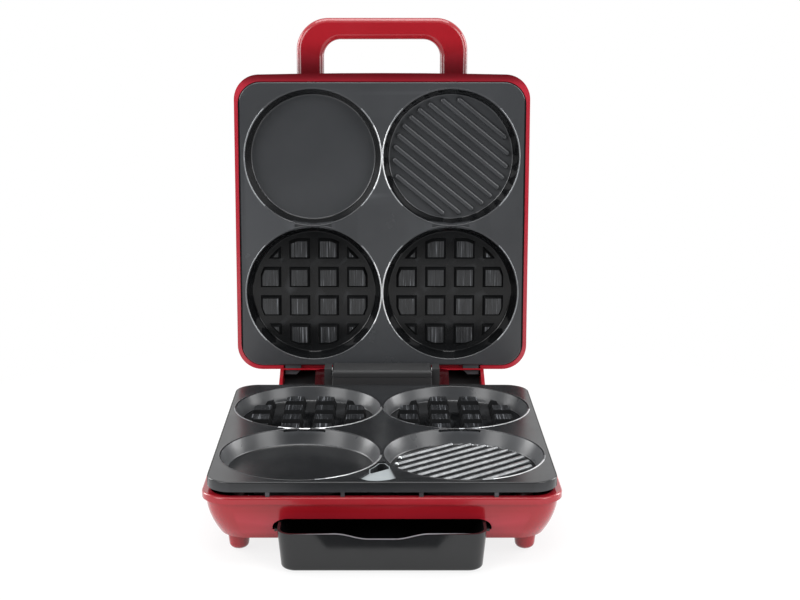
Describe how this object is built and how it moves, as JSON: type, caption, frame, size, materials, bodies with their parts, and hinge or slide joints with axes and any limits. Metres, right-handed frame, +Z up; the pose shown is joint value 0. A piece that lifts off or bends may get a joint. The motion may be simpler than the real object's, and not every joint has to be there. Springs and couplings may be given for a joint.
{
  "type": "electric contact grill",
  "caption": "Electric contact grill standing open, with flat, ribbed and waffle wells on hinged cooking plates, a loop handle on the lid and a pull-out drip tray.",
  "frame": {"origin": "on the floor under the middle of the grill as it stands open, tray drawn out a little", "axes": "+X to the right, +Y to the back, +Z up; the lid stands open at the back"},
  "size_m": [0.2606, 0.3726, 0.3732],
  "materials": {
    "red_plastic": "glossy moulded",
    "nonstick_coating": "dark non-stick coat on cast aluminium",
    "grey_plastic": "smooth moulded",
    "black_plastic": "matte moulded",
    "rubber": "matte",
    "steel": "zinc plated",
    "element_sheath": "annealed tube",
    "ceramic": "unglazed",
    "fuse_body": "plain",
    "red_lens": "clear tinted",
    "green_lens": "clear tinted",
    "board": "resin board"
  },
  "bodies": {
    "base": {"base_housing": "red_plastic", "foot_pads": "rubber", "tray_channel": "black_plastic", "lower_plate": "nonstick_coating", "plate_spacers": "steel", "lower_element": "element_sheath", "lower_reflector": "steel", "lower_thermostat": "ceramic", "lower_reflector_screws": "steel", "thermal_fuse": "fuse_body", "terminal_block": "ceramic", "lower_plate_screws": "steel", "hinge_block": "grey_plastic", "hinge_block_screws": "steel", "hinge_knuckles": "grey_plastic", "hinge_pins": "steel", "hinge_clips": "steel", "cord_gland": "black_plastic"},
    "lid": {"lid_housing": "red_plastic", "lid_handle": "red_plastic", "handle_screws": "steel", "upper_plate": "nonstick_coating", "upper_element": "element_sheath", "upper_reflector": "steel", "upper_thermostat": "ceramic", "upper_reflector_screws": "steel", "arm_liners": "black_plastic", "power_light": "red_lens", "ready_light": "green_lens", "lamp_board": "board"},
    "tray": {"drip_tray": "grey_plastic"}
  },
  "joints": [
    {"name": "lid_hinge", "type": "hinge", "parent": "base", "child": "lid", "pos_m": [0, 0.11511, 0.0416], "axis": [1, 0, 0], "range_deg": [0, 93]},
    {"name": "tray_slide", "type": "slide", "parent": "base", "child": "tray", "axis": [0, -1, 0], "range_m": [-0.022, 0.1]}
  ]
}
